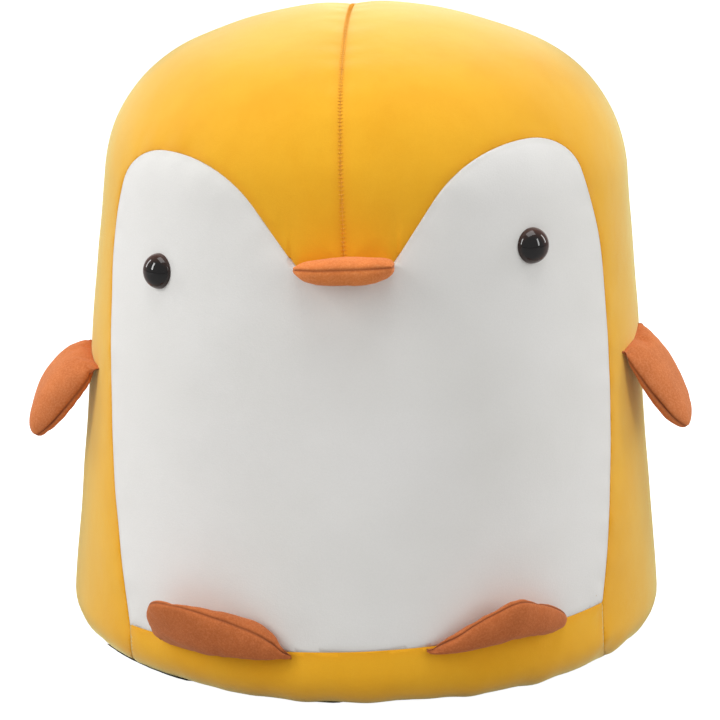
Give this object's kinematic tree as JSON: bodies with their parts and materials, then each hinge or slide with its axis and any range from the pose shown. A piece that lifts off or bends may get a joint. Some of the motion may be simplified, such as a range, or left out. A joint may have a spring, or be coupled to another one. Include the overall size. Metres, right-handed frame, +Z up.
{
  "type": "upholstered penguin stool",
  "caption": "Padded drum stool made up as a plush penguin, with a domed seat, white belly panel, safety eyes and soft sewn-on beak, wings and feet.",
  "frame": {"origin": "centre of the base cloth, on the floor and on the drum's axis", "axes": "+Z up along the drum's axis, -Y towards the penguin's front, +X to the viewer's right"},
  "size_m": [0.3947, 0.3637, 0.372],
  "materials": {
    "yellow_plush": "short-pile velvet, soft sheen",
    "white_plush": "smooth matt brushed cloth",
    "orange_suede": "matt suede-like cloth with sewn rim",
    "brown_suede": "matt suede-like cloth with sewn rim",
    "eye_plastic": "polished black-brown",
    "washer_plastic": "moulded",
    "fibre_filling": "loose polyester fibre",
    "wadding": "polyester wadding",
    "foam": "open-cell polyurethane foam",
    "hardboard": "smooth pressed fibreboard",
    "plywood": "sanded birch face",
    "pine": "planed",
    "zinc_steel": "zinc plated",
    "black_cloth": "non-woven"
  },
  "bodies": {
    "stool": {"base_board": "plywood", "base_cloth": "black_cloth", "base_screws": "zinc_steel", "belly_panel": "white_plush", "cover_staples": "zinc_steel", "eye_left": "eye_plastic", "eye_right": "eye_plastic", "eye_washer_left": "washer_plastic", "eye_washer_right": "washer_plastic", "frame_post_1": "pine", "frame_post_2": "pine", "frame_post_3": "pine", "frame_post_4": "pine", "frame_post_5": "pine", "frame_post_6": "pine", "front_hem_band": "yellow_plush", "left_side_panel": "yellow_plush", "right_side_panel": "yellow_plush", "seat_foam": "foam", "side_foam": "foam", "side_wall": "hardboard", "top_board": "plywood", "top_screws": "zinc_steel", "wadding": "wadding"},
    "left_wing": {"left_wing_inner_panel": "orange_suede", "left_wing_outer_panel": "orange_suede", "left_wing_stuffing": "fibre_filling"},
    "right_wing": {"right_wing_inner_panel": "orange_suede", "right_wing_outer_panel": "orange_suede", "right_wing_stuffing": "fibre_filling"},
    "left_foot": {"left_foot_sole_panel": "brown_suede", "left_foot_stuffing": "fibre_filling", "left_foot_top_panel": "brown_suede"},
    "right_foot": {"right_foot_sole_panel": "brown_suede", "right_foot_stuffing": "fibre_filling", "right_foot_top_panel": "brown_suede"},
    "beak": {"beak_lower_panel": "orange_suede", "beak_stuffing": "fibre_filling", "beak_upper_panel": "orange_suede"}
  },
  "joints": [
    {"name": "left_wing_hinge", "type": "hinge", "parent": "stool", "child": "left_wing", "pos_m": [-0.16057, -0.04021, 0.1673], "axis": [-0.2416, 0.965, 0.1022], "range_deg": [-8, 75], "stiffness_Nm_per_rad": 0.08},
    {"name": "right_wing_hinge", "type": "hinge", "parent": "stool", "child": "right_wing", "pos_m": [0.15933, -0.03964, 0.18172], "axis": [-0.2395, -0.9629, -0.1241], "range_deg": [-8, 75], "stiffness_Nm_per_rad": 0.08},
    {"name": "left_foot_hinge", "type": "hinge", "parent": "stool", "child": "left_foot", "pos_m": [-0.07172, -0.16298, 0.03216], "axis": [-0.9145, 0.4024, -0.0415], "range_deg": [-45, 6], "stiffness_Nm_per_rad": 0.08},
    {"name": "right_foot_hinge", "type": "hinge", "parent": "stool", "child": "right_foot", "pos_m": [0.08577, -0.15529, 0.03929], "axis": [-0.8747, -0.4831, -0.0397], "range_deg": [-45, 6], "stiffness_Nm_per_rad": 0.08},
    {"name": "beak_hinge", "type": "hinge", "parent": "stool", "child": "beak", "pos_m": [-0.00276, -0.15816, 0.24644], "axis": [-0.9988, 0.0174, -0.0454], "range_deg": [-12, 15], "stiffness_Nm_per_rad": 0.08}
  ]
}
